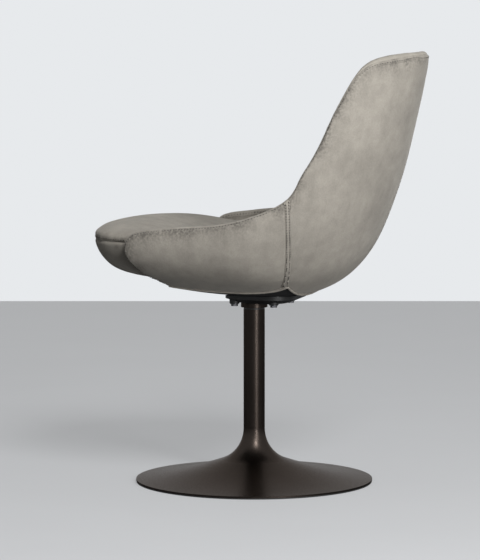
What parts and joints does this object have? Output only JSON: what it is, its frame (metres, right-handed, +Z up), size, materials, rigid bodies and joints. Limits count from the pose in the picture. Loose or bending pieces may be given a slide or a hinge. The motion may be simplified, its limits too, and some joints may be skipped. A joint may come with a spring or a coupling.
{
  "type": "swivel dining chair",
  "caption": "Upholstered bucket dining chair with a loose seat pad, turning on a column over a round trumpet base.",
  "frame": {"origin": "on the floor under the middle of the column", "axes": "+Z up, -Y the way the sitter faces, +X at the sitter's left hand"},
  "size_m": [0.5102, 0.6241, 0.8071],
  "materials": {
    "velvet": "taupe-grey short-pile velvet",
    "black_cloth": "black non-woven dust cloth",
    "foam": "open-cell cushion foam, matt",
    "plywood": "raw birch plywood",
    "frame_steel": "black primer",
    "black_paint": "matt black powder coat",
    "bronze_paint": "satin dark bronze powder coat",
    "bottom_board": "black sheet",
    "cast_iron": "rough cast",
    "turned_steel": "fine turned",
    "zinc_steel": "bright zinc plate",
    "bearing_steel": "ground and polished",
    "spring_steel": "phosphated spring steel",
    "cage_brass": "stamped brass",
    "bush_plastic": "natural acetal",
    "elastomer": "matt black elastomer"
  },
  "bodies": {
    "base": {"floor_ring": "elastomer", "base_flare": "bronze_paint", "base_bottom_plate": "bottom_board", "ballast_plate": "cast_iron", "base_tie_bolt": "zinc_steel", "base_tie_washer": "zinc_steel", "neck_sleeve": "turned_steel", "column_tube": "bronze_paint", "bearing_housing": "turned_steel", "lower_bush": "bush_plastic", "upper_bush": "bush_plastic", "lower_race": "bearing_steel", "thrust_balls": "bearing_steel", "ball_cage": "cage_brass"},
    "seat": {"upper_race": "bearing_steel", "swivel_spindle": "turned_steel", "spindle_washer": "zinc_steel", "spindle_clip": "spring_steel", "hub_collar": "bronze_paint", "mounting_plate": "black_paint", "mount_bolts": "zinc_steel", "mount_washers": "zinc_steel", "mount_nuts": "zinc_steel", "seat_board": "plywood", "rib_front": "frame_steel", "rib_rear": "frame_steel", "rim_rod": "frame_steel", "shell_foam": "foam", "rim_binding": "velvet", "wing_cover_left": "velvet", "wing_cover_right": "velvet", "side_seam_left": "velvet", "side_seam_right": "velvet", "back_cover": "velvet", "under_cover": "black_cloth", "inner_lining": "velvet", "seat_base": "foam", "front_border": "velvet", "pad_core": "foam", "pad_cover": "velvet"}
  },
  "joints": [
    {"name": "seat_swivel", "type": "hinge", "parent": "base", "child": "seat", "pos_m": [0, 0, 0.3286], "axis": [0, 0, 1], "continuous": true}
  ]
}
